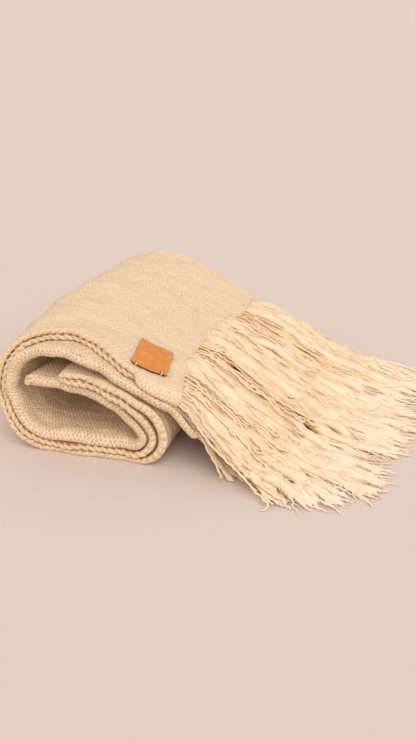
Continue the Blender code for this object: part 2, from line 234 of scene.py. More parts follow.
# %% Table of the path
PATH = np.array([
    (137, 37, 132, 41, 7.0, 7.4, 358, 8, 0, 0, 0),        # past the lower fringe end
    (127, 47, 122, 50, 7.0, 7.6, 358, 8, 0, 0, 0),        # lower fringe end
    (96, 74, 92, 76, 7.0, 7.8, 358, 8, 0, 0, 3),          # upper fringe end
    (68, 88, 66, 89, 7.0, 7.2, 360, 8, 0, 0, 5),          # flap
    (43, 99, 42, 99, 7.0, 6.8, 368, 12, 0, 1, 6),
    (12, 115, 12, 113, 7.0, 6.8, 376, 17, 0, 2, 4),       # right shoulder
    (-18, 126, -18, 125, 7.0, 7.0, 382, 26, 0, 4, 0),
    (-49, 130.5, -49, 130, 7.1, 7.1, 386, 27, 0, 6, -4),  # crown
    (-76, 125, -76, 125, 7.2, 7.2, 388, 26, 0, 8, -4),
    (-98, 111, -98, 112, 7.3, 7.3, 389, 18, 0, 8, -1),
    (-110, 92, -111, 94, 7.3, 7.4, 389, 12, 0, 6, 1),     # left side
    (-113, 72, -115, 73, 7.1, 7.4, 389, 8, 0, 4, 0),
    (-105, 51, -107, 51, 7.0, 7.2, 389, 4, 0, 2, 0),
    (-93, 31, -94, 31, 6.9, 7.0, 389, 1, 0, 0, 0),
    (-77, 18.5, -77, 18.5, 6.8, 6.9, 389, 0, 0, 0, 0),    # left foot
    (-56, 13.2, -56, 13.2, 6.8, 6.8, 389, 0, 0, 0, 0),
    (-30, 13.2, -30, 13.2, 6.8, 6.8, 389, 0, 0, 0, 0),    # on the floor
    (4, 13.2, 4, 13.2, 6.8, 6.8, 389, 0, 0, 0, 0),
    (28, 13.2, 28, 13.2, 6.8, 6.8, 389, 0, 0, 0, 0),
    (46, 13.4, 49, 13.4, 7.2, 6.9, 389, 0, 0, 0, 0),      # right foot
    (58, 18, 61, 17.5, 9.6, 7.0, 389, 0, 0, 0, 0),
    (63.5, 29, 67.5, 29, 12.4, 7.2, 389, 0, 0, 0, 0),     # bulge
    (60.5, 41, 65.5, 42, 12.8, 7.4, 389, 0, 0, 0, 0),
    (52, 53, 56, 53.5, 12.0, 8.0, 389, 0, 0, 0, 0),
    (39, 64, 41, 63, 10.0, 8.6, 389, 0, 2, 0, 0),         # inner slope
    (20, 74.5, 21, 73.5, 8.6, 8.2, 389, 0, 4, 0, 0),
    (-4, 82, -4, 81, 8.0, 8.0, 389, 2, 5, 0, 0),
    (-36, 89, -36, 88, 7.0, 8.0, 389, 4, 6, 0, 0),        # fold of the outer pair
    (-60, 91, -60, 90, 7.0, 7.6, 389, 4, 4, 0, 0),
    (-79, 92, -79, 91, 7.0, 7.2, 389, 4, 2, 0, 0),        # fold of the inner pair
    (-90, 92, -90, 91, 7.0, 7.2, 389, 4, 2, 0, 0),
]) * MM
LOWER_END, UPPER_END, OUTER_FOLD, INNER_FOLD = 1, 2, 27, 29
CLOTH = 6.0 * MM  # thickness
NEAR_END = -190.0 * MM  # Y of the roll's open end
NEAR_BLEND = 110.0 * MM  # depth over which the open end's section becomes the body's
SWELL_AT = 160.0 * MM  # depth at which the roll is fullest
FAR_FROM, DEEPEST = 175.0 * MM, 389.0 * MM  # depths between which the section becomes the far end's
SETBACK_FADES = 0.34  # share of the depth where a near edge's setback has faded out
BOW, BOW_ENDS = 17.0 * MM, 0.88  # the woven ends bow in, up to this share of the depth
SAMPLES = 24  # places on the curve for each row of the table


def ease(share):
    """A smooth step from 0 to 1."""
    share = np.clip(share, 0.0, 1.0)
    return share * share * (3 - 2 * share)


def smooth_rows(rows):
    """A Catmull-Rom curve through the rows, with every column carried along."""
    before = np.vstack([2 * rows[0] - rows[1], rows[:-1]])
    after = np.vstack([rows[1:], 2 * rows[-1] - rows[-2]])
    share = np.linspace(0.0, 1.0, SAMPLES, endpoint=False)[:, None]
    spans = []
    for here in range(len(rows) - 1):
        spans.append(
            (2 * share**3 - 3 * share**2 + 1) * rows[here]
            + (share**3 - 2 * share**2 + share) * (rows[here + 1] - before[here]) / 2
            + (3 * share**2 - 2 * share**3) * rows[here + 1]
            + (share**3 - share**2) * (after[here + 1] - rows[here]) / 2
        )
    return np.vstack(spans + [rows[-1:]])


def outward(points):
    """The outward direction along a curve of (x, z) points."""
    along = np.gradient(points, axis=0)
    along /= np.linalg.norm(along, axis=1)[:, None]
    return np.column_stack([along[:, 1], -along[:, 0]])


path_rows = smooth_rows(PATH)
path_steps = np.linalg.norm(np.diff(path_rows[:, 2:4], axis=0), axis=1)
path_length = np.concatenate([[0.0], np.cumsum(path_steps)])
at_row = path_length[::SAMPLES] - path_length[::SAMPLES][UPPER_END]
path_length = path_length - path_length[::SAMPLES][UPPER_END]
path_out = np.hstack([outward(path_rows[:, 0:2]), outward(path_rows[:, 2:4])])
strip_length = at_row[OUTER_FOLD]
print(f"the folded strip is {strip_length * 1000:.0f} mm long")

# %% [markdown]
# ## From steps on the sheet to places
#
# The cloth is one sheet, so any spot on it can be named by two numbers: how many steps of 9 mm it is from
# the first fringed end, and how many from the first long edge. The next functions turn those numbers into
# a place in space. Along the first number the sheet runs along the outside of the strip, turns round the
# fold inside the roll and comes back between its own outer layers. Along the second it runs from the
# near edge to the far fold and back underneath.
#
# The lower layers reach further out at both ends near the open end, because the cloth was folded askew.
# At the open end the innermost layer rolls outwards over its neighbour, so those two show as one thick,
# soft rim, as in the photograph, and at the corner of the flap the top layer rolls down to meet it. A
# little unevenness is added to the strip as a whole, so that the four layers stay in touch.

# %% Places on the sheet
ROW_STEP = 9.0 * MM
SHEET_DEEP = 371.0 * MM  # from the near edge to the far fold
FOLD_STEPS = 4  # steps round a fold
rows_along = round(strip_length / ROW_STEP)
columns_deep = round(SHEET_DEEP / ROW_STEP)
last_row = 2 * rows_along + FOLD_STEPS
last_column = 2 * columns_deep + FOLD_STEPS
CURL, CURL_ARC = 7.0 * MM, 11.0 * MM  # radius of the rolled rim, and its length
CURL_SET, RECESS = 3.0 * MM, 7.5 * MM  # how far that rim and the one behind it lie back
RIM_PAST, RIM_EASE = 0.6, 1.6  # steps that a rim goes on round the fold, and over which it fades there
CORNER_ROLL = (62.0 * MM, 40.0 * MM)  # the flap's edge rolls down between these distances from its end
CORNER_BACK, CORNER_FORWARD = 4.0 * MM, 4.5 * MM  # there the layer under it lies back, and it comes out
CORNER_DOWN = 1.35  # how far it rolls down, as a share of the other rim's roll
RAGGED = 1.6 * MM  # how uneven a long edge is


def read(values, distance):
    """Columns of the path's rows at these distances along it."""
    return np.stack([np.interp(distance, path_length, column) for column in values.T], -1)


def strip_point(distance, depth, offset):
    """A point at this distance along the path, this far behind the near end and this far out."""
    share = ease(depth / NEAR_BLEND)[:, None]
    place, out = read(path_rows[:, 0:4], distance), read(path_out, distance)
    place = (1 - share) * place[:, 0:2] + share * place[:, 2:4]
    out = (1 - share) * out[:, 0:2] + share * out[:, 2:4]
    out /= np.linalg.norm(out, axis=1)[:, None]
    swell, far_end = read(path_rows[:, 9:11], distance).T
    offset = offset + swell * ease(depth / SWELL_AT) * ease((DEEPEST - depth) / (DEEPEST - SWELL_AT))
    offset = offset + far_end * ease((depth - FAR_FROM) / (DEEPEST - FAR_FROM))
    uneven = 1.0 * MM * waves(np.column_stack([distance, depth]) / 0.09, 5)
    uneven += 0.6 * MM * waves(np.column_stack([distance, depth]) / 0.035, 6)
    place = place + out * (offset + uneven)[:, None]
    return np.column_stack([place[:, 0], NEAR_END + depth, place[:, 1]])


def rolled_rim(from_edge, far):
    """How far the rolled rim moves a point in depth, and outwards, at this distance from the long edge."""
    turn = np.clip(1 - from_edge / CURL_ARC, 0, 1) * math.pi / 2
    rest = (CURL - CURL_ARC) * (1 - (from_edge - CURL_ARC) / (far - CURL_ARC))
    along = np.where(from_edge < CURL_ARC, CURL * (1 - np.sin(turn)) - from_edge, rest)
    return along, CURL * (1 - np.cos(turn))


def corner_roll(distance):
    """How far the top layer's edge is rolled down at this distance from its end, from 0 to 1."""
    return ease((CORNER_ROLL[0] - distance) / (CORNER_ROLL[0] - CORNER_ROLL[1]))


def sheet_point(row, column):
    """The middle of the cloth at these steps along it and across it."""
    row, column = np.broadcast_arrays(np.asarray(row, float), np.asarray(column, float))
    row, column = row.ravel(), column.ravel()
    # along, it turns round the fold inside the roll and comes back inside itself
    inside = row > rows_along + FOLD_STEPS / 2
    bend = np.clip((row - rows_along) / FOLD_STEPS, 0, 1) * math.pi
    along = np.minimum(np.where(inside, last_row - row, row) / rows_along, 1.0)
    # across, it turns round the far fold and comes back underneath
    under = column > columns_deep + FOLD_STEPS / 2
    angle = np.clip((column - columns_deep) / FOLD_STEPS, 0, 1) * math.pi
    deep = np.minimum(np.where(under, last_column - column, column) / columns_deep, 1.0)
    askew = np.where(under, 1 - deep, 0.0)
    start = BOW * np.sin(math.pi * np.minimum(deep / BOW_ENDS, 1.0)) + askew * at_row[LOWER_END]
    end = strip_length + askew * (at_row[INNER_FOLD] - strip_length)
    distance = start + along * (end - start)
    outer, inner, far, edge_out, edge_in = read(path_rows[:, 4:9], distance).T
    turns = np.where(bend > 0, np.where(bend < math.pi, 1 + 0.5 * np.cos(bend), 0.5), 1.5)
    distance = distance + np.where(under, inner, outer) / 2 * np.sin(bend)
    # at the open end it has the rolled rim, the one set back behind it and the corner of the flap
    before_fold = ease((rows_along + RIM_PAST - row) / RIM_EASE) * under
    after_fold = ease((row - rows_along - FOLD_STEPS + RIM_PAST) / RIM_EASE) * under
    corner = corner_roll(distance) * ~under
    edge = np.where(under, edge_in, edge_out) + CURL_SET * before_fold + RECESS * after_fold
    edge = edge + corner * np.where(inside, CORNER_BACK, -CORNER_FORWARD)
    edge = edge + RAGGED * waves(distance / 0.07 + 0.15 * inside + 7 * under, 8)
    rim_depth, rim_out = rolled_rim(deep * far, far)
    rim_depth = rim_depth * (before_fold + corner * ~inside)
    rim_out = rim_out * (before_fold - CORNER_DOWN * corner * ~inside)
    depth = edge * np.maximum(0, 1 - deep / SETBACK_FADES) + deep * far + rim_depth
    depth = depth + turns * (outer + inner) / 2 * np.sin(angle)
    return strip_point(distance, depth, turns * np.where(under, inner, outer) * np.cos(angle) + rim_out)


def sheet_frame(row, column):
    """Middle point, direction along the sheet, direction across it, and direction out of its face."""
    small = 0.03
    row, column = np.asarray(row, float), np.asarray(column, float)
    before, after = np.maximum(row - small, 0), np.minimum(row + small, last_row)
    near, far = np.maximum(column - small, 0), np.minimum(column + small, last_column)
    along = sheet_point(after, column) - sheet_point(before, column)
    across = sheet_point(row, far) - sheet_point(row, near)
    along /= np.linalg.norm(along, axis=1)[:, None] + 1e-12
    across /= np.linalg.norm(across, axis=1)[:, None] + 1e-12
    out = np.cross(along, across)
    out /= np.linalg.norm(out, axis=1)[:, None] + 1e-12
    return sheet_point(row, column), along, across, out


# a spot on the outside shows whether the sheet's face looks out of the roll
ROLL_MIDDLE = 60.0 * MM  # height of the middle of the roll
spot, _, _, spot_out = sheet_frame(np.array([20.0]), np.array([10.0]))
facing = 1.0 if spot_out[0] @ (spot[0] - np.array([0, spot[0][1], ROLL_MIDDLE])) > 0 else -1.0
print(f"the sheet is {last_row} by {last_column} steps, its face turns {facing:+.0f}")

# %% [markdown]
# ## The cloth
#
# A real sheet has two faces and a thickness, so the cloth is drawn as a closed skin over the sheet's
# middle: both faces and a rounded rim. It starts as a coarse grid of 9 mm squares. Only the squares that
# can be seen closely are then cut in four each way: the outside of the roll, its open end, and the rims.
# That gives two vertices or more for every thread there, without spending faces on the hidden layers.
#
# Every vertex keeps its own row, column and side. They put the vertex in its place, with the bulge of
# each thread, and they also draw the weave in the material, so both always agree.

# %% Coarse skin of the sheet
skin = bmesh.new()
sheet_layer = skin.verts.layers.float_vector.new("sheet")


def skin_vertex(row, column, side):
    """A vertex that keeps its row, column and side."""
    vert = skin.verts.new((row, column, side))
    vert[sheet_layer] = (row, column, side)
    return vert


def skin_grid(side):
    """One face of the cloth as lines of vertices."""
    columns = range(last_column + 1)
    return [[skin_vertex(row, column, side) for column in columns] for row in range(last_row + 1)]


def border(grid):
    """The vertices round a grid, in order."""
    last_ones, first_ones = [line[-1] for line in grid[:-1]], [line[0] for line in grid[:0:-1]]
    return grid[0][:-1] + last_ones + grid[-1][:0:-1] + first_ones


def join_lines(one_line, other_line):
    """A row of faces between two lines of vertices."""
    for here in range(len(one_line) - 1):
        skin.faces.new((one_line[here], one_line[here + 1], other_line[here + 1], other_line[here]))


top, under = skin_grid(1.0), skin_grid(-1.0)
for line, next_line in zip(top, top[1:]):
    join_lines(next_line, line)
for line, next_line in zip(under, under[1:]):
    join_lines(line, next_line)
loop_top, loop_under = border(top), border(under)
loop_middle = [skin_vertex(*vert[sheet_layer][:2], 0) for vert in loop_top]
join_lines(loop_top + loop_top[:1], loop_middle + loop_middle[:1])
join_lines(loop_middle + loop_middle[:1], loop_under + loop_under[:1])
print(f"coarse skin: {len(skin.faces)} faces")

# %% Cut the squares that show
RIM = 2.2  # steps from a long edge that get the fine mesh
HOLLOW_DEEP = 9.0  # steps into the hollow that get it
outside_rows = rows_along * 0.70  # the strip's outside, as far as it can be seen


def seen_closely(face):
    """True where the face lies on the outside of the roll, by a long edge or in the open hollow."""
    row, column, side = np.mean([vert[sheet_layer][:] for vert in face.verts], axis=0)
    by_edge = min(column, last_column - column) < RIM
    outside = side > 0.5 and row < outside_rows and column < columns_deep + FOLD_STEPS
    hollow = side > 0.5 and row < rows_along + FOLD_STEPS and column > last_column - HOLLOW_DEEP
    return by_edge or outside or hollow


chosen = [face for face in skin.faces if seen_closely(face)]
edges = list({edge for face in chosen for edge in face.edges})
bmesh.ops.subdivide_edges(skin, edges=edges, cuts=3, use_grid_fill=True, use_single_edge=True)
print(f"cut skin: {len(skin.faces)} faces")

# %% [markdown]
# The place of each vertex comes from its row, column and side. On the faces it stands half the cloth's
# thickness out from the middle, and a little more by the first long edge, where the selvedge packs it.
# A thread stands up where it crosses over the next one and dips between, and the wool is lumpier than
# that: it was spun by hand, so the cloth is a little thicker here and thinner there.

# %% Put every vertex in its place
BY_EDGE, EDGE_WIDE = 3.2 * MM, 11.0 * MM  # half thickness by the braided edge, and how far in it goes
TOUCHING = 7.2 * MM  # spacing of the outer layers above which their edges are fuller, to close the gap
THREAD_HIGH, LUMP_HIGH = 0.2 * MM, 0.26 * MM
THREADS = (4 * math.pi, 18 / 7 * math.pi)  # turns of the two threads for each step
RIM_ROUND = 0.9  # how far the rim bulges, as a share of half the thickness


def strip_place(row):
    """Distance along the strip of these rows, and the spacing of the outer layers there."""
    distance = np.where(row > last_row / 2, last_row - row, row) / rows_along * strip_length
    return distance, np.interp(distance, path_length, path_rows[:, 4])


def half_thickness(row, column):
    """Half the cloth's thickness, which is more by the braided edge, most where the layers stand apart."""
    _, spacing = strip_place(row)
    by_edge = BY_EDGE * np.clip(spacing / TOUCHING, 1.0, 1.75)
    return by_edge + ease(column * ROW_STEP / EDGE_WIDE) * (CLOTH / 2 - by_edge)


def cloth_places(marks):
    """Places of vertices, from their row, column and side."""
    row, column, side = marks.T
    middle, along, across, out = sheet_frame(row, column)
    half = half_thickness(row, column)
    thread = np.cos(THREADS[0] * row) * np.cos(THREADS[1] * column)
    lumps = waves(np.column_stack([row, column]) / 1.3, 21, 6)
    height = half + np.where(np.abs(side) > 0.99, THREAD_HIGH * thread + LUMP_HIGH * lumps, 0.0)
    bulge = (1 - side**2) * half * RIM_ROUND
    bulge_along = np.where(row < 0.001, -bulge, np.where(row > last_row - 0.001, bulge, 0.0))
    # the first long edge is nearly flat, because the braid stands there
    on_last = column > last_column - 0.001
    bulge_across = np.where(column < 0.001, -0.35 * bulge, np.where(on_last, bulge, 0.0))
    places = middle + facing * out * (side * height)[:, None]
    places += along * bulge_along[:, None] + across * bulge_across[:, None]
    places[:, 2] = np.maximum(places[:, 2], 0.15 * MM)
    return places


marks = np.array([vert[sheet_layer][:] for vert in skin.verts])
for vert, place in zip(skin.verts, cloth_places(marks)):
    vert.co = place
if facing < 0:
    bmesh.ops.reverse_faces(skin, faces=skin.faces)
bmesh.ops.triangulate(skin, faces=[face for face in skin.faces if len(face.verts) > 4])
cloth_mesh = bpy.data.meshes.new("woven_cloth")
skin.to_mesh(cloth_mesh)
skin.free()
cloth_mesh.shade_smooth()
cloth = bpy.data.objects.new("woven_cloth", cloth_mesh)
scene.collection.objects.link(cloth)
cloth_area = sum(polygon.area for polygon in cloth_mesh.polygons)
cloth_triangles = sum(len(polygon.vertices) - 2 for polygon in cloth_mesh.polygons)
print(f"cloth: {cloth_triangles} triangles, {cloth_area / 2:.3f} square metres a side")

# %% [markdown]
# Two attributes tell the material what it can't see for itself. The first counts the threads: the weave
# goes on round the rims and along the other face, so that face counts its columns onwards. The second
# holds how far a vertex is turned towards a neighbouring layer, where only brown light reaches it, so
# that brown shade is painted there. It also holds how strongly shade is painted into the weave's pits
# there, which is little on the outside, where the light falls straight on, and more on the rims and on the
# layers that come back under the far fold.

# %% Attributes of the cloth
RIM_THREADS = 0.35  # steps of weave round half a rim
mark_row, mark_column, mark_side = marks.T
on_rim = (np.abs(mark_side) < 0.99) & (mark_column > 0.001)
onwards = mark_column + on_rim * (1 - mark_side) * RIM_THREADS
onwards = np.where(mark_side < -0.99, 2 * (last_column + RIM_THREADS) - mark_column, onwards)
mark_vertices(cloth_mesh, "weave", np.column_stack([mark_row, onwards, 0 * onwards]))
# cloth turned towards a neighbouring layer, and the underside of the rim by the first long edge, is painted
# in brown shade
between_pairs = np.clip((mark_row - rows_along - FOLD_STEPS - 0.5) / 2, 0, 1) * (mark_column < columns_deep)
hidden = ease((mark_side - 0.45) / 0.5) * between_pairs
hidden = np.maximum(hidden, 0.5 * ease((-mark_side - 0.3) / 0.6) * (mark_column < 2.0))
# how strongly shade is painted into the weave's pits: least on the outside, most on the rims and on the
# layers that come back under the far fold
weave_shade = 0.6 + 0.4 * np.maximum(ease((mark_column - columns_deep) / FOLD_STEPS), 1 - mark_side**2)
mark_vertices(cloth_mesh, "shaded", np.column_stack([hidden, weave_shade, 0 * weave_shade]))
print(f"{np.mean(hidden > 0.1):.0%} of the vertices lie in a crevice")

# %% [markdown]
# ## Wool
#
# The wool is undyed sheep's wool, spun thick and softly and woven plainly, over one thread and under the
# next. Fulling closes the weave, so it shows as small soft pebbles in rows that are nowhere quite straight,
# and not as clean threads. It has no gloss at all, and light that falls between the pebbles comes out
# browner, because it has met more wool on its way, so the pits between them are painted a darker brown, as
# shade. A few tan specks of straw stay in such wool.
#
# The pebbles are where a thread passes over, so they stand 4.5 mm apart in staggered rows, 3.5 mm from row
# to row. They are drawn from the thread numbers, which are first pushed about a little by two noises, a
# broad one for the drift of the rows and a fine one for the pebbles. Fibres are drawn coarser than real.

# %% Wool material
# the deeper colours are painted shade in the weave's pits, mixed with the wool's own uneven tone
WOOL_LIGHT, WOOL_MID, WOOL_DEEP = "#F2DCC0", "#E5CCA9", "#BF8A4C"
# the straw is the wool's own colour; the crevice colour is painted brown shade, between layers and on the
# braid's hidden side
STRAW, CREVICE_SHADE = "#C79A68", "#B47C45"


def matt_wool(sheen, tint):
    """The shader's values for wool with this much sheen."""
    return {
        "Roughness": 0.95, "Specular IOR Level": 0.15,
        "Sheen Weight": sheen, "Sheen Roughness": 0.6, "Sheen Tint": srgb(tint),
    }


def wool_material(name, light, middle, deep):
    """Fulled wool with its woven pebbles, for the cloth and its two attributes."""
    wool, shader = new_material(name, matt_wool(0.2, "#FFF0DC"))
    add, sum_of = partial(add_node, wool), partial(add_math, wool)
    sheet = add("Attribute", {"attribute_name": "weave"}).outputs["Vector"]
    shaded = add("Attribute", {"attribute_name": "shaded"}).outputs["Vector"]
    shaded = add("SeparateXYZ", {}, {0: shaded})
    # the rows of pebbles drift, and each pebble is pushed about a little
    bent = sheet
    for scale, push in ((0.7, 0.45), (2.4, 0.36)):
        drift = add("TexNoise", {"Scale": scale, "Detail": 1.0}, {"Vector": sheet})
        by = {"operation": "MULTIPLY_ADD", 1: (push, push, 0.0)}
        bent = add("VectorMath", by, {0: drift.outputs["Color"], 2: bent}).outputs["Vector"]
    split = add("SeparateXYZ", {}, {0: bent})
    swell = [
        sum_of("COSINE", sum_of("MULTIPLY", split.outputs[socket], turns))
        for socket, turns in (("X", THREADS[0]), ("Y", THREADS[1]))
    ]
    soft = {"From Min": -0.85, "From Max": 0.6, "To Max": 0.62, "interpolation_type": "SMOOTHSTEP"}
    pebble = add("MapRange", soft, {"Value": sum_of("MULTIPLY", *swell)}).outputs[0]
    # every pebble has a height and a tone of its own, with fibres and broad clouds over them
    own = add("TexNoise", {"Scale": 1.8, "Detail": 2.0, "Roughness": 0.7}, {"Vector": sheet})
    own = add("SeparateXYZ", {}, {0: own.outputs["Color"]})
    place = add("TexCoord").outputs["Object"]
    fibre = add("TexNoise", {"Scale": 800.0, "Detail": 4.0, "Roughness": 0.7}, {"Vector": place})
    cloud = add("TexNoise", {"Scale": 45.0, "Detail": 4.0, "Roughness": 0.6}, {"Vector": place})
    height = sum_of("MULTIPLY_ADD", own.outputs["X"], 0.6, pebble)
    height = sum_of("MULTIPLY_ADD", fibre.outputs["Fac"], 0.5, height)
    bump = add("Bump", {"Strength": 1.0, "Distance": 1.2 * MM}, {"Height": height})
    # the pits between the pebbles are painted darker, as shade, and more so where the second number of the
    # shaded attribute is high; each pebble's own tone and the clouds are the wool's own
    tone = sum_of("MULTIPLY_ADD", own.outputs["Y"], 0.5, pebble)
    tone = sum_of("MULTIPLY_ADD", cloud.outputs["Fac"], 0.5, tone)
    darker = sum_of("MULTIPLY", sum_of("SUBTRACT", 1.0, tone), shaded.outputs["Y"])
    stops = ((0.2, deep), (0.66, middle), (1.0, light))
    colour = add_ramp(wool, sum_of("SUBTRACT", 1.0, darker), stops)
    straw = add("TexVoronoi", {"Scale": 55.0, "feature": "F1"}, {"Vector": place})
    speck = add("MapRange", {"From Min": 0.075, "From Max": 0.045}, {"Value": straw.outputs["Distance"]})
    colour = add_mix(wool, speck.outputs[0], colour, STRAW)
    # cloth turned towards a neighbouring layer is painted in brown shade
    colour = add_mix(wool, shaded.outputs["X"], colour, CREVICE_SHADE)
    wire_looks(wool, shader, colour, bump)
    return wool


cloth_mesh.materials.append(wool_material("fulled plain woven wool", WOOL_LIGHT, WOOL_MID, WOOL_DEEP))
print(f"cloth material: {len(cloth_mesh.materials[0].node_tree.nodes)} nodes")

# %% [markdown]
# ## Loose and twisted wool
#
# Braids, locks and yarns are all long soft cords, so one function sweeps a ring of points along a path.
# The ring may swell and shrink along the way, be flatter than it is wide, and have grooves round it.
# Each cord's vertices keep how far along they are, the cord's number and how they face the light.
#
# Their wool is the cloth's, but nothing has pressed it. Fibres run along each cord. It has the cloth's
# colour where it leaves the cloth and is paler where it frays, and its hollows and undersides, turned from
# the light, are painted in honey brown shade.

# %% Sweep a ring along a path
def frames_along(path):
    """Directions along, sideways and up for every point of a path."""
    along = np.gradient(path, axis=0)
    along /= np.linalg.norm(along, axis=1)[:, None] + 1e-12
    side = np.cross(along, np.array([0.0, 0.0, 1.0]))
    side /= np.linalg.norm(side, axis=1)[:, None] + 1e-9
    return along, side, np.cross(side, along)


def round_angles(sides):
    """The angles of points round a ring."""
    return np.linspace(0, 2 * math.pi, sides, endpoint=False)


def sweep(path, radius, sides, flat=1.0, groove=None, side=None, up=None):
    """Points and faces of a closed tube. radius has one value for each point of the path."""
    if side is None:
        _, side, up = frames_along(path)
    angle = round_angles(sides)
    size = radius[:, None] * (np.ones(sides) if groove is None else groove)
    flat = np.broadcast_to(flat, len(path))[:, None]
    points = (
        path[:, None, :]
        + side[:, None, :] * (size * np.cos(angle))[..., None]
        + up[:, None, :] * (size * flat * np.sin(angle))[..., None]
    )
    index = np.arange(len(path) * sides).reshape(len(path), sides)
    after = np.roll(index, -1, axis=1)
    faces = np.stack([index[:-1], index[1:], after[1:], after[:-1]], -1).reshape(-1, 4).tolist()
    faces += [index[0].tolist(), index[-1][::-1].tolist()]
    return points.reshape(-1, 3), faces


def marks_of(along, number, light, sides):
    """How far along each point is, the strand's number, and how the point faces the light."""
    light = np.broadcast_to(np.asarray(light, float), (len(along), sides)).ravel()
    return np.column_stack([np.repeat(along, sides), np.full(len(along) * sides, float(number)), light])


class Bundle:
    """Collects tubes into one mesh."""

    def __init__(self):
        self.points, self.faces, self.marks, self.count = [], [], [], 0

    def add(self, points, faces, mark=None):
        self.points.append(points)
        self.faces.extend([[number + self.count for number in face] for face in faces])
        self.marks.append(np.zeros((len(points), 3)) if mark is None else mark)
        self.count += len(points)

    def piece(self, name, material):
        made = piece_from(name, np.vstack(self.points), self.faces, material)
        mark_vertices(made.data, "strand", np.vstack(self.marks))
        return made


# %% Yarn material
def yarn_material(name, light, middle, deep, hollow, stretch):
    """Unspun or softly spun wool. stretch says how fine its fibres are along, across and round it."""
    yarn, shader = new_material(name, matt_wool(0.1, "#FFF2E0"))
    add = partial(add_node, yarn)
    place = add("TexCoord").outputs["Object"]
    strand = add("Attribute", {"attribute_name": "strand"}).outputs["Vector"]
    combed = add("VectorMath", {"operation": "MULTIPLY", 1: stretch}, {0: strand}).outputs[0]
    fibre = add("TexNoise", {"Scale": 1.0, "Detail": 5.0, "Roughness": 0.6}, {"Vector": combed})
    cloud = add("TexNoise", {"Scale": 60.0, "Detail": 3.0}, {"Vector": place})
    tone = add_math(yarn, "MULTIPLY_ADD", cloud.outputs["Fac"], 0.5, fibre.outputs["Fac"])
    colour = add_ramp(yarn, tone, ((0.45, deep), (0.66, middle), (1.0, light)))
    bump = add("Bump", {"Strength": 0.4, "Distance": 0.5 * MM}, {"Height": fibre.outputs["Fac"]})
    split = add("SeparateXYZ", {}, {0: strand})
    # the ends turn paler and the roots take the cloth's colour; the sides turned from the light are painted
    # in shade with the hollow colour
    for socket, none_at, most_at, most, towards in (
        ("X", 0.6, 1.1, 0.45, "#FCF0DF"),
        ("X", 0.1, 0.0, 0.8, WOOL_MID),
        ("Z", 0.5, -0.35, 0.85, hollow),
    ):
        reach = {"From Min": none_at, "From Max": most_at, "To Max": most}
        amount = add("MapRange", reach, {"Value": split.outputs[socket]})
        colour = add_mix(yarn, amount.outputs[0], colour, towards)
    wire_looks(yarn, shader, colour, bump)
    return yarn


# the fourth colour of each wool is the painted shade of its undersides and hollows
edge_wool = yarn_material(
    "wool yarn of the braided edge", WOOL_LIGHT, WOOL_MID, "#D6B284", CREVICE_SHADE, (0.0, 600.0, 2.5)
)
roving_wool = yarn_material("loose wool roving", "#F7E8D2", "#F3DFC0", "#EACC9E", "#E8BB7E", (9.0, 3.7, 6.0))
yarn_wool = yarn_material("crinkled wool yarn", "#F7E8D2", "#F1DCBC", "#E8C898", "#E3B87C", (120.0, 3.7, 3.0))
print(f"{edge_wool.name}, {roving_wool.name}, {yarn_wool.name}")

# %% [markdown]
# ## Braided edges
#
# The long edges of a handwoven throw end in a selvedge: the weft turns round the outermost warp threads
# there and packs them into a firm, knuckled cord. The first long edge shows on the outer pair of layers.
# On each of those two it is one thick cord of two twisted strands, with a knuckle about every 9 mm. The
# two cords lie against each other and twist opposite ways, the inner one a quarter turn on, so together
# they look like a plait. The other long edge is softer, and it is rolled over inside, so it has no cord.

# %% Selvedge cords
KNUCKLE = 9.0 * MM
CORD_CENTRE = 1.5 * MM  # from the long edge
STRAND_THICK = 2.45 * MM  # radius of a strand
STRAND_OUT = 1.7 * MM  # how far a strand lies from the cord's middle
CORD_RING = 1.4 * MM  # spacing of its rings
CORD_SIDES = 8
OUTER_FLAT = 0.75  # the outermost cord is fulled flatter, and merges with the cloth over it


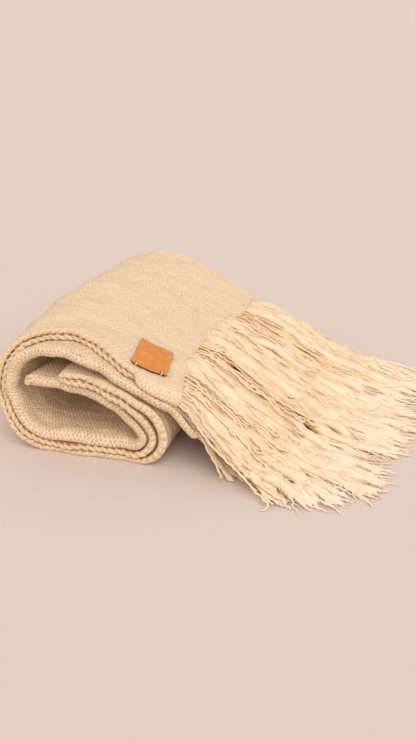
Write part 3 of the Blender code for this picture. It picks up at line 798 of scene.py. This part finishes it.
def add_selvedge(bundle):
    """Both strands of the cord, from one fringed end through the fold inside the roll to the other."""
    rings = int(2 * rows_along * ROW_STEP / CORD_RING)
    row = np.linspace(0.05, last_row - 0.05, rings)
    # the fold inside the roll is short, so the rows there pass faster than the length does
    steps = np.linalg.norm(np.diff(sheet_point(row, np.zeros(rings)), axis=0), axis=1)
    length = np.concatenate([[0], np.cumsum(steps)])
    even = np.linspace(0, length[-1], rings)
    row = np.interp(even, length, row)
    middle, _, across, out = sheet_frame(row, np.full(rings, CORD_CENTRE / ROW_STEP))
    distance, spacing = strip_place(row)
    inner_layer = row > last_row / 2
    swell = np.clip(spacing / TOUCHING, 1.0, 1.2) * (1 + 0.07 * waves(even / 0.03, 35))
    swell = swell * (1 - 0.85 * corner_roll(distance))
    firm = np.minimum(swell, 1) * np.where(inner_layer, 1.0, OUTER_FLAT)
    quarter = np.where(inner_layer, math.pi / 2, 0.0)
    twist = math.pi * np.abs(even - length[-1] / 2) / KNUCKLE
    for strand in (0.0, math.pi):
        turn = twist + strand + quarter + 0.3 * waves(even / 0.05, 31)
        path = middle + across * (STRAND_OUT * swell * np.cos(turn))[:, None]
        path += out * (STRAND_OUT * firm * np.sin(turn))[:, None]
        radius = STRAND_THICK * swell * (1 + 0.08 * waves(even / 0.013, 37))
        path[:, 2] = np.maximum(path[:, 2], radius * 0.97)
        radius[[0, -1]] *= 0.3
        # only the inner layer's cord has a side that is hidden between the layers, and that side is painted
        # in shade
        height = STRAND_OUT * np.sin(turn)[:, None] + STRAND_THICK * np.sin(round_angles(CORD_SIDES))
        height = facing * height / (STRAND_OUT + STRAND_THICK)
        hidden = np.where((row < rows_along + 2)[:, None], 0.0, height)
        light = 1 - 1.2 * np.clip(hidden, 0, 1) ** 2
        # the cord's length stands in the place of a strand's number, so its fibres lie across it
        mark = np.column_stack([0 * light.ravel(), np.repeat(even, CORD_SIDES), light.ravel()])
        bundle.add(*sweep(path, radius, CORD_SIDES, side=across, up=out), mark)


selvedge_bundle = Bundle()
add_selvedge(selvedge_bundle)
selvedge = selvedge_bundle.piece("braided_selvedge", edge_wool)

# %% [markdown]
# ## Fringe
#
# The fringe is what is left of the warp beyond the last row of weaving. Two kinds of warp alternate in
# this cloth, in broad stripes: thick, almost untwisted roving that fluffs out into soft locks as wide as a
# finger, and thin, firmly spun yarns, which keep the crinkle of the weave and wander over the locks. A
# lock is drawn as a soft, grooved core with loose fibres over it. Towards its end it parts into smaller
# locks, wisps and hairs. A yarn is a thin tube on a crinkled path, which here and there makes a loop.
#
# Each strand leaves the woven edge, droops over the side of the roll and comes down on the floor or on the
# locks under it. How it turns, how far it reaches and where it lands is read from the table that the
# solid locks follow, by how far along the woven end it grows.

# %% How the locks lie
# Columns: share along the woven end, degrees turned towards +Y, reach along X in mm, X where it comes
# down in mm.
FAN = {
    "top": np.array([
        (0.0, -25, 142, 208), (0.1, -20, 203, 240), (0.25, -15.5, 256, 268), (0.5, -10, 274, 292),
        (1.0, -1, 264, 312),
    ]),
    "bottom": np.array([
        (0.0, -16, 52, 170), (0.1, -17, 96, 178), (0.25, -15.5, 151, 186), (0.5, -10, 172, 196),
        (1.0, -1, 176, 206),
    ]),
}
BED = 5.6 * MM  # underside of the upper locks on the lower ones
ROOT_IN = 3.0 * MM  # how far a root lies inside the cloth


def droop(run):
    """Share of the root's height that is left after this share of the run to the landing place."""
    left = 1 - np.clip(run, 0.0, 1.0)
    return left * left * (1.9 - 0.9 * left)


def walk(root, heading, step):
    """x and y of a walk from a root, by its heading at each point."""
    sums = (np.concatenate([[0], np.cumsum(turned(heading[:-1]))]) for turned in (np.cos, np.sin))
    return [start + step * total for start, total in zip(root, sums)]


def fan_at(layer, share, *columns):
    """Columns of the table of locks at this share of the woven end."""
    return (np.interp(share, FAN[layer][:, 0], FAN[layer][:, column]) for column in columns)


def reach_of(layer, share):
    """The length of a strand that grows at this share of the woven end."""
    turn, reach = fan_at(layer, share, 1, 2)
    return reach * MM / math.cos(math.radians(turn))


def strand_route(
    root, layer, share, points, seed, wander, crinkle, lift, reach_share, curl=0.0, loop=0.0, rise=8
):
    """The path of one strand from its root to its tip."""
    draw = np.random.default_rng(seed)
    turn, reach, landing = fan_at(layer, share, 1, 2, 3)
    reach *= MM * reach_share
    along = np.linspace(0.0, 1.0, points)
    heading = np.arctan(math.tan(math.radians(turn)) * (0.75 + 0.5 * along))
    run = along * reach
    heading = heading + wander * waves(run / 0.11, seed + 1, 3) * np.minimum(along * 4, 1)
    wavelength = draw.uniform(0.008, 0.012)
    phase = 2 * math.pi * run / wavelength + 1.2 * waves(run / 0.03, seed + 2, 3) + draw.uniform(0, 6)
    heading = heading + crinkle * np.sin(phase) * np.minimum(along * 12, 1)
    heading = heading + curl * np.clip((along - 0.84) / 0.16, 0, 1) ** 1.5
    heading = heading + 2 * math.pi * loop * ease((along - draw.uniform(0.5, 0.72)) / 0.2)
    x, y = walk(root, heading, reach / math.cos(math.radians(turn)) / (points - 1))
    bed = BED * np.clip((0.95 - along) / 0.3, 0, 1) if layer == "top" else np.zeros(points)
    z = bed + (root[2] - bed) * droop((x - root[0]) / (landing * MM - root[0]))
    z = z + lift * np.minimum(along * rise, 1) * np.clip((1.05 - along) * 3, 0.15, 1)
    z = z + 0.6 * crinkle * wavelength / 6 * np.cos(phase * 0.83) + 1.4 * MM * waves(run / 0.06, seed + 3, 3)
    return np.column_stack([x, y, z]), along


def root_on(which, layer, share):
    """The root on a woven end at this share from the near edge to the far fold."""
    row, inwards = (0.0, ROOT_IN) if which == "a" else (float(last_row), -ROOT_IN)
    column = share * columns_deep if layer == "top" else last_column - share * columns_deep
    middle, along, _, _ = sheet_frame(np.array([row]), np.array([column]))
    return middle[0] + along[0] * inwards


# %% Roving locks
LOCK_FLAT = 0.5  # a lock's height as a share of its width
ROOT_FLAT = 0.2  # the same where it leaves the cloth, as thick as that is
LOCK_SIDES = 12
LOCK_COUNTS = {"top": (60, 9, 24), "bottom": (40, 5, 12)}  # points along it, loose fibres, parts of its end
# The parts of a lock's end, in turn. Columns: half thickness in mm, spread in radians, sides.
PARTS = ((2.8, 0.16, 6), (1.3, 0.26, 4), (0.33, 0.4, 3), (0.33, 0.4, 3))
PART_POINTS = 14
UNDER_LOCK_SHADE = 0.72  # how much honey brown shade is painted on the locks inside, which show only through the gaps of the outermost ones


def add_fibres(bundle, draw, seed, count, lock, shade_under_locks):
    """Loose fibres over a lock."""
    path, along, side, up, size, flat = lock
    for number in range(count):
        turn = draw.uniform(-0.2, math.pi + 0.2) + draw.uniform(-1.2, 1.2) * along
        turn = turn + 0.5 * waves(along * 3, seed + 11 + number, 3)
        loose = np.maximum(0, waves(along * 4, seed + 60 + number, 3)) * draw.uniform(0.0, 0.35)
        out = size * (draw.uniform(0.9, 1.02) + loose)
        line = path + side * (out * np.cos(turn))[:, None] + up * (out * flat * np.sin(turn))[:, None]
        keep = (along >= draw.uniform(0.0, 0.12)) & (along <= draw.uniform(0.85, 0.97))
        thick = draw.uniform(0.3, 0.7) * MM * np.clip((1.02 - along) / 0.25, 0.3, 1)
        line[:, 2] = np.maximum(line[:, 2], thick + 0.1 * MM)
        # a fibre over a lock that lies under others takes that lock's painted shade too
        light = (np.sin(turn) + 0.25 - shade_under_locks)[keep][:, None]
        bundle.add(*sweep(line[keep], thick[keep], 3), marks_of(along[keep], seed + number, light, 3))


def add_parts(bundle, draw, seed, count, lock, reach):
    """The smaller locks, wisps and hairs that a lock's end parts into."""
    path, _, side, up, size, flat = lock
    last = len(path) - 1
    far = np.linspace(0, 1, PART_POINTS)
    for number in range(count):
        half, spread, sides = PARTS[number % len(PARTS)]
        start = int(draw.uniform(0.72, 0.93) * last)
        turn = draw.uniform(0, math.pi)
        root = path[start] + side[start] * size[start] * 0.7 * math.cos(turn)
        root = root + up[start] * size[start] * flat[start] * 0.6 * math.sin(turn)
        ahead = path[min(start + 1, last)] - path[max(start - 1, 0)]
        heading = math.atan2(ahead[1], ahead[0]) + draw.normal(0, spread) - 0.25 * math.cos(turn)
        length = (1.07 - start / last) * reach * draw.uniform(0.6, 1.0)
        bent = heading + (draw.normal(0, 1.6 * spread) + 0.25 * math.cos(turn)) * far
        bent = bent + 1.6 * spread * waves(far * length / 0.02, seed + 200 + number, 3)
        x, y = walk(root, bent, length / (PART_POINTS - 1))
        z = root[2] * (1 - ease(far * 1.2)) + draw.uniform(0.5, 4.0) * MM * far
        thick = half * MM * np.clip((1.04 - far) / 0.6, 0.1, 1) ** 0.6
        thick = thick * (1 + 0.2 * waves(far * 4, seed + 300 + number, 3))
        line = np.column_stack([x, y, np.maximum(z, 0.5 * thick + 0.1 * MM)])
        bundle.add(*sweep(line, thick, sides, 0.5), marks_of(0.85 + 0.2 * far, seed + number, 0.55, sides))


def add_lock(bundle, root, layer, share, seed, radius, outermost):
    """A soft, grooved core with loose fibres over it, which parts towards its end."""
    draw = np.random.default_rng(seed)
    points, fibres, parts = LOCK_COUNTS[layer]
    path, along = strand_route(
        root, layer, share, points, seed, wander=0.16, crinkle=0.0,
        lift=draw.uniform(0.5, 5.0) * MM if outermost else draw.uniform(3.0, 6.0) * MM,
        reach_share=draw.uniform(0.86, 1.03), rise=8 if outermost else 30,
    )
    body = np.clip((1.0 - along) / 0.16, 0.28, 1.0) ** 0.7 * (1 + 0.45 * (1 - ease(along / 0.09)))
    radius *= np.clip(reach_of(layer, share) / 0.2, 0.55, 1.0)
    size = radius * body * (1 + 0.16 * waves(along * 6, seed + 4, 4) * np.minimum(along * 6, 1))
    size[-1] *= 0.5
    flat = ROOT_FLAT + (LOCK_FLAT - ROOT_FLAT) * ease(along / 0.2)
    path[:, 2] = np.maximum(path[:, 2], size * flat + 0.2 * MM)
    angle = round_angles(LOCK_SIDES)
    groove = 1.0 + 0.08 * np.sin(3 * angle + 3 * waves(along * 2, seed + 5, 3)[:, None])
    groove = groove + 0.07 * np.sin(5 * angle - 4 * waves(along * 3, seed + 6, 3)[:, None])
    _, side, up = frames_along(path)
    # locks under the outermost ones are painted in honey brown shade over the first half of their length,
    # fading out towards their ends
    shade_under_locks = (1 - ease((along - 0.5) / 0.35)) * (0.0 if outermost or share < 0.1 else UNDER_LOCK_SHADE)
    light = marks_of(along, seed, np.sin(angle) - shade_under_locks[:, None], LOCK_SIDES)
    bundle.add(*sweep(path, size, LOCK_SIDES, flat, groove, side, up), light)
    lock = (path, along, side, up, size, flat)
    add_fibres(bundle, draw, seed, fibres, lock, shade_under_locks)
    add_parts(bundle, draw, seed, parts, lock, reach_of(layer, share))


# %% Crinkled yarns
YARN_SIDES = 5
YARN_POINTS = {"top": 150, "bottom": 90}
LOOPS, FEW_LOOPS = 0.5, 0.15  # share of the yarns that make a loop, in the near half and elsewhere


def add_yarn(bundle, root, layer, share, seed, radius):
    """A thin yarn that keeps the crinkle of the weave."""
    draw = np.random.default_rng(seed)
    curl = draw.uniform(-4.0, 4.0) if draw.uniform() < 0.4 else draw.uniform(-0.8, 0.8)
    looped = LOOPS if 0.02 < share < 0.45 else FEW_LOOPS
    loop = draw.choice([-1.0, 1.0]) if draw.uniform() < looped else 0.0
    path, along = strand_route(
        root, layer, share, YARN_POINTS[layer], seed, wander=0.22, crinkle=draw.uniform(0.35, 0.75),
        lift=(draw.uniform(4.0, 9.0) + 4.0 * abs(loop)) * MM, reach_share=draw.uniform(0.86, 1.04),
        curl=curl, loop=loop,
    )
    size = radius * draw.uniform(0.8, 1.15) * (1 + 0.14 * waves(along * 9, seed + 9, 4))
    size = size * np.clip((1.03 - along) / 0.06, 0.4, 1)
    path[:, 2] = np.maximum(path[:, 2], size + 0.1 * MM)
    light = np.sin(round_angles(YARN_SIDES)) + 0.3
    bundle.add(*sweep(path, size, YARN_SIDES), marks_of(along, seed, light, YARN_SIDES))


# %% [markdown]
# On the photographed end the stripes of roving and of thin yarns can be counted. The sheet inside ends
# just under it, where its rovings fill the gaps, and both lower ends are mixed evenly.

# %% Both fringes
# Stripes of each piece and layer. Columns: first share, last share, number of strands.
ROVINGS = {
    ("a", "top"): [(0.21, 0.30, 3), (0.51, 0.70, 5), (0.89, 0.99, 4)],
    ("b", "top"): [(0.015, 0.985, 23)],
    ("a", "bottom"): [(0.04, 0.96, 9)],
    ("b", "bottom"): [(0.0, 0.92, 9)],
}
YARNS = {
    ("a", "top"): [(0.0, 0.19, 10), (0.325, 0.485, 9), (0.72, 0.87, 8), (0.2, 0.7, 11)],
    ("b", "top"): [(0.2, 0.31, 4), (0.49, 0.7, 7), (0.88, 0.98, 4)],
    ("a", "bottom"): [(0.0, 0.95, 13)],
    ("b", "bottom"): [(0.02, 0.98, 13)],
}
LOCK_RADIUS = (8.4, 11.0)  # mm
LOWER_LOCKS = 0.8  # their size as a share of the upper ones
YARN_RADIUS = 1.35 * MM
SEED_STEP = 7


def shares_of(stripes):
    """Where the strands of these stripes grow on the woven end."""
    return [share for first, last, number in stripes for share in np.linspace(first, last, number)]


fringe_pieces = []
for which in "ab":
    locks, yarns = Bundle(), Bundle()
    for layer, first_seed, lock_size in (("top", 0, 1.0), ("bottom", 500, LOWER_LOCKS)):
        seed = 1000 * (1 + "ab".index(which)) + first_seed
        for share in shares_of(ROVINGS[which, layer]):
            seed += SEED_STEP
            radius = np.random.default_rng(seed).uniform(*LOCK_RADIUS) * lock_size * MM
            outermost = (which, layer) == ("a", "top")
            add_lock(locks, root_on(which, layer, share), layer, share, seed, radius, outermost)
        for share in shares_of(YARNS[which, layer]):
            seed += SEED_STEP
            add_yarn(yarns, root_on(which, layer, share), layer, share, seed, YARN_RADIUS)
    fringe_pieces.append(locks.piece(f"roving_locks_{which}", roving_wool))
    fringe_pieces.append(yarns.piece(f"crinkled_yarns_{which}", yarn_wool))

# %% [markdown]
# ## Leather label
#
# A plate of vegetable tanned leather, 42 by 62 mm and 2 mm thick, is cut out with a die. It has two
# notches in its far end and two holes near its other end for the yarn that ties it down. Its corners are
# a little rounded and its cut edges are dark. It is bare: nothing is stamped on it here. A grid is given
# its rounded corners and its thickness, holes are punched with cutters, the edges are softened, and the
# plate is then laid on the slope of the cloth.

# %% Label plate
LABEL = (42.0 * MM, 62.0 * MM, 2.0 * MM)  # across the flap, along the roll, thickness
LABEL_CENTRE = (49.0 * MM, 54.5 * MM)  # distance along the path, and depth
LABEL_LIFT = 0.6 * MM
LABEL_TURN = math.radians(-9.0)
LABEL_CURL = 0.9 * MM
CORNER = 2.5 * MM
HOLE = 2.2 * MM
HOLES = [(-15.0 * MM, 31.0 * MM), (15.0 * MM, 31.0 * MM), (-15.0 * MM, -26.2 * MM), (15.0 * MM, -26.2 * MM)]

bpy.ops.object.select_all(action="DESELECT")
bpy.ops.mesh.primitive_grid_add(x_subdivisions=28, y_subdivisions=42, size=1.0, location=(0, 0, 0))
label = bpy.context.object
label.name = "leather_label"
label.scale = (LABEL[0], LABEL[1], 1.0)
bpy.ops.object.transform_apply(location=False, rotation=False, scale=True)
for vertex in label.data.vertices:
    x, y = vertex.co.x, vertex.co.y
    over_x, over_y = abs(x) - (LABEL[0] / 2 - CORNER), abs(y) - (LABEL[1] / 2 - CORNER)
    if over_x > 0 and over_y > 0:
        shrink = max(over_x, over_y) / math.hypot(over_x, over_y)
        vertex.co.x = math.copysign(LABEL[0] / 2 - CORNER + over_x * shrink, x)
        vertex.co.y = math.copysign(LABEL[1] / 2 - CORNER + over_y * shrink, y)
use_modifier(label, "SOLIDIFY", thickness=LABEL[2], offset=0.0)
for x, y in HOLES:
    bpy.ops.mesh.primitive_cylinder_add(vertices=20, radius=HOLE, depth=0.02, location=(x, y, 0))
    punch = bpy.context.object
    use_modifier(label, "BOOLEAN", object=punch, operation="DIFFERENCE")
    bpy.data.objects.remove(punch)
use_modifier(label, "BEVEL", width=0.35 * MM, segments=2, limit_method="ANGLE", angle_limit=math.radians(50))
print(f"label: {len(label.data.polygons)} faces")


# %% Lay it on the cloth
def on_cloth(across, along, height):
    """A place on the outer layer, by its distance across and along the label and its height."""
    distance = LABEL_CENTRE[0] + across * math.cos(LABEL_TURN) - along * math.sin(LABEL_TURN)
    depth = LABEL_CENTRE[1] + across * math.sin(LABEL_TURN) + along * math.cos(LABEL_TURN)
    outer = read(path_rows[:, 4:9], distance)[:, 0]
    return strip_point(distance, depth, 1.5 * outer + CLOTH / 2 + height)


plate = np.array([vertex.co[:] for vertex in label.data.vertices])
mark_vertices(label.data, "plate", plate)
curl = LABEL_CURL * np.abs(plate[:, 0] / LABEL[0] * 2) ** 3 * (0.5 - plate[:, 1] / LABEL[1])
laid = on_cloth(plate[:, 0], plate[:, 1], LABEL_LIFT + LABEL[2] / 2 + plate[:, 2] + curl)
for vertex, place in zip(label.data.vertices, laid):
    vertex.co = place
select_only(label)
bpy.ops.object.shade_smooth_by_angle(angle=math.radians(40))
print(f"label: {laid[:, 2].min() * 1000:.0f} to {laid[:, 2].max() * 1000:.0f} mm above the floor")

# %% [markdown]
# Vegetable tanned leather is an even orange tan on its face, a touch darker in the pores of its grain and
# along the edge, where the die has burnished it. It has a low, waxy gloss.

# %% Leather material
leather, shader = new_material("vegetable tanned leather", {"Roughness": 0.55, "Specular IOR Level": 0.35})
add = partial(add_node, leather)
plate_place = add("Attribute", {"attribute_name": "plate"}).outputs["Vector"]
grain = add("TexVoronoi", {"Scale": 900.0, "feature": "DISTANCE_TO_EDGE"}, {"Vector": plate_place})
cloud = add("TexNoise", {"Scale": 110.0, "Detail": 6.0, "Roughness": 0.6}, {"Vector": plate_place})
colour = add_ramp(leather, cloud.outputs["Fac"], ((0.3, "#CD8036"), (0.72, "#E39A4C")))
split = add("SeparateXYZ", {}, {0: plate_place})
edge = add("MapRange", {"From Min": 0.95 * MM, "From Max": 0.45 * MM}, {"Value": split.outputs["Z"]})
colour = add_mix(leather, edge.outputs[0], colour, "#6E3A17")
bump = add("Bump", {"Strength": 0.35, "Distance": 0.25 * MM}, {"Height": grain.outputs["Distance"]})
wire_looks(leather, shader, colour, bump)
label.data.materials.append(leather)
print(f"leather: {len(leather.node_tree.nodes)} nodes")

# %% [markdown]
# ## Yarn ties
#
# The label is tied down by four stitches of the same wool yarn, one at each notch and hole. Each comes up
# through the cloth, passes over the end of the leather and goes down again, so it shows as a short, pale
# bead. Two plies twist round each other along it.

# %% Ties
TIE_PLY, TIE_OUT = 0.7 * MM, 0.45 * MM  # radius of a ply, and how far it lies from the yarn's middle
TIE_POINTS = 26
TIE_PAST = 1.3 * MM  # how far past the leather's end a tie goes down
TIE_TWIST = 3.2 * math.pi
ties = []
for number, (x, y) in enumerate(HOLES):
    inside = min(y, LABEL[1] / 2 - HOLE / 5)
    outside = math.copysign(LABEL[1] / 2 + TIE_PAST, y)
    angle = np.linspace(math.pi, 0, TIE_POINTS)
    along = inside + (outside - inside) * (1 + np.cos(angle)) / 2
    height = 1.2 * MM + 2.7 * MM * np.sin(angle) ** 0.5
    middle = on_cloth(np.full(TIE_POINTS, x), along, height)
    _, side, up = frames_along(middle)
    bundle = Bundle()
    for ply in (0.0, math.pi):
        turn = np.linspace(0, TIE_TWIST, TIE_POINTS) + ply
        line = middle + side * (TIE_OUT * np.cos(turn))[:, None] + up * (TIE_OUT * np.sin(turn))[:, None]
        bundle.add(*sweep(line, np.full(TIE_POINTS, TIE_PLY), 6, side=side, up=up))
    ties.append(bundle.piece(f"yarn_tie_{number + 1}", yarn_wool))

# %% [markdown]
# ## Tie the looks to the model
#
# Everything rides on the model's one body, and the model's solids that these pieces stand for are hidden.

for piece in [cloth, selvedge, label, *fringe_pieces, *ties]:
    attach(piece, "root")
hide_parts("throw")
for piece in fringe_pieces:
    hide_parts("fringe_a" if piece.name.endswith("a") else "fringe_b")
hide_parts("label")
for number, tie in enumerate(ties):
    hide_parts(f"tie_{number + 1}")

# %% Size
total = sum(
    len(polygon.vertices) - 2
    for piece in [cloth, selvedge, label, *fringe_pieces, *ties] for polygon in piece.data.polygons
)
print(f"{total} triangles in the dressed throw")
